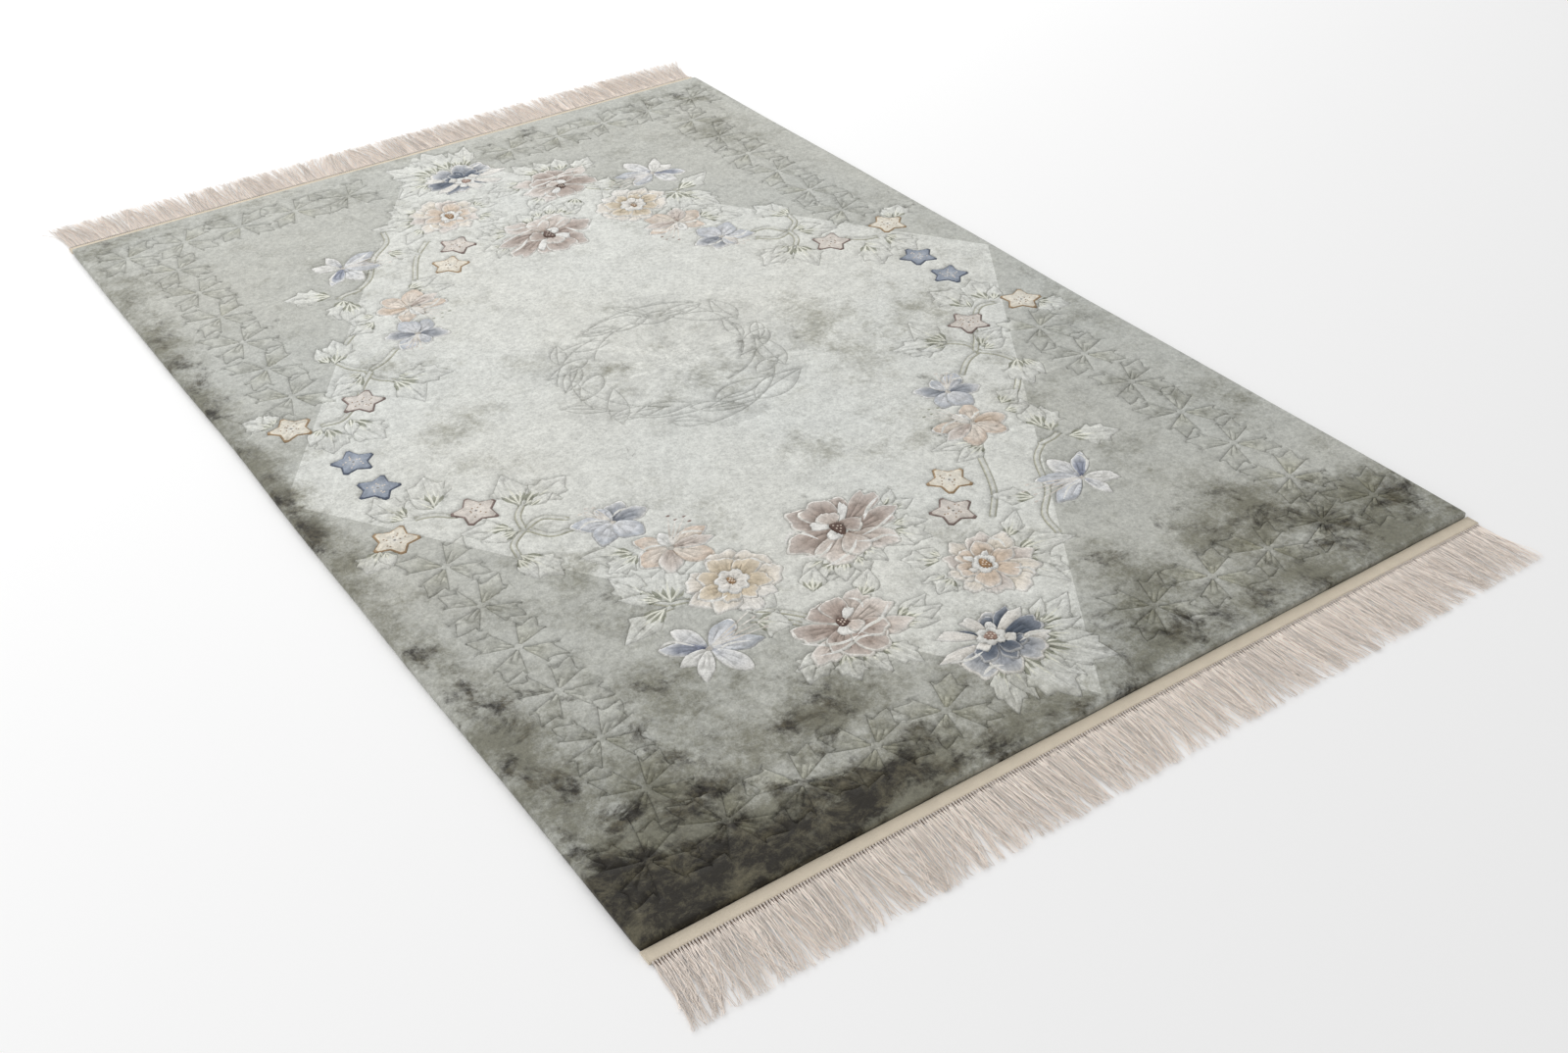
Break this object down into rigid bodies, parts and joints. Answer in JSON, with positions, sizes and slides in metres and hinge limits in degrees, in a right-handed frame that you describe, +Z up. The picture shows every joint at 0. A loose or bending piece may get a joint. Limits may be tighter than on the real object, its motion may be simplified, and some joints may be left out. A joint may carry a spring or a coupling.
{
  "type": "rug",
  "caption": "Rectangular carved-pile rug in the Chinese style, lying flat, with a flower garland, a rosette border, a central wreath, and a woven tape and loose fringe along each short end.",
  "frame": {"origin": "on the underside, midway between the long sides and midway between the two rows of fringe tips", "axes": "+Y along the length, +X across the width, +Z up out of the pile"},
  "size_m": [1.1978, 2.0172, 0.0099],
  "materials": {
    "pile": "silky cut pile, marbled silver and grey",
    "tape": "flat woven cotton tape, matt",
    "fringe": "loose soft yarn, slightly glossy"
  },
  "bodies": {
    "root": {"carpet": "pile", "near_tape": "tape", "far_tape": "tape", "near_fringe": "fringe", "far_fringe": "fringe"}
  },
  "joints": []
}
